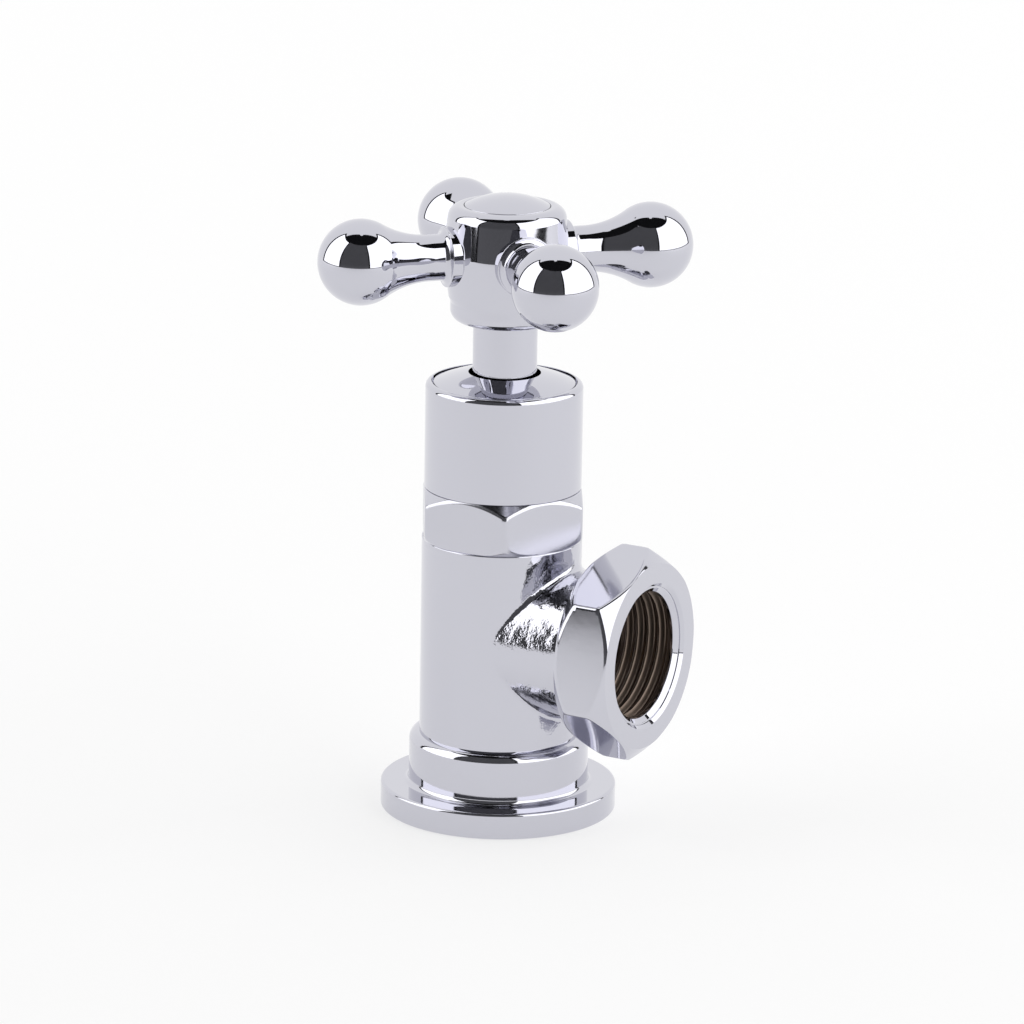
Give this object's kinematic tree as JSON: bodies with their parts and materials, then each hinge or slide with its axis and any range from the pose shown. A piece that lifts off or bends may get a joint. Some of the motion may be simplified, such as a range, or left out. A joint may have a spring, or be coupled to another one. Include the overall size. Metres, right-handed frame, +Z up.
{
  "type": "stopcock",
  "caption": "Angle pattern chrome stopcock with a female inlet in its base flange, a female side outlet and a rising cross handle.",
  "frame": {"origin": "centre of the base flange's lower face, on the inlet's and the spindle's common axis", "axes": "+Z up along the spindle, +X out of the side outlet"},
  "size_m": [0.0484, 0.046, 0.0943],
  "materials": {
    "chrome": "polished plating",
    "brass": "turned",
    "rubber": "matt",
    "fibre": "pressed fibre",
    "nylon": "moulded",
    "steel": "zinc plated"
  },
  "bodies": {
    "valve": {"valve_body": "chrome", "bonnet_seal": "fibre", "bonnet": "chrome", "packing_ring_lower": "rubber", "packing_ring_upper": "rubber", "gland_washer": "brass", "gland_nut": "brass", "cover_sleeve": "chrome", "domed_cover": "chrome"},
    "jumper_assembly": {"jumper": "brass", "jumper_washer": "rubber", "jumper_nut": "brass"},
    "handle_assembly": {"spindle": "brass", "stem_tube": "chrome", "spline_bush": "nylon", "cross_handle": "chrome", "spring_washer": "steel", "handle_screw": "steel", "index_cap": "chrome", "cap_ring": "rubber"}
  },
  "joints": [
    {"name": "washer_lift", "type": "slide", "parent": "valve", "child": "jumper_assembly", "axis": [0, 0, 1], "range_m": [-0.005, 0]},
    {"name": "handle_turn", "type": "hinge", "parent": "jumper_assembly", "child": "handle_assembly", "pos_m": [0, 0, 0.0853], "axis": [0, 0, 1], "range_deg": [-900, 0]}
  ],
  "couplings": [
    {"joint": "washer_lift", "follows": "handle_turn", "m_per_rad": 0.00031831}
  ]
}
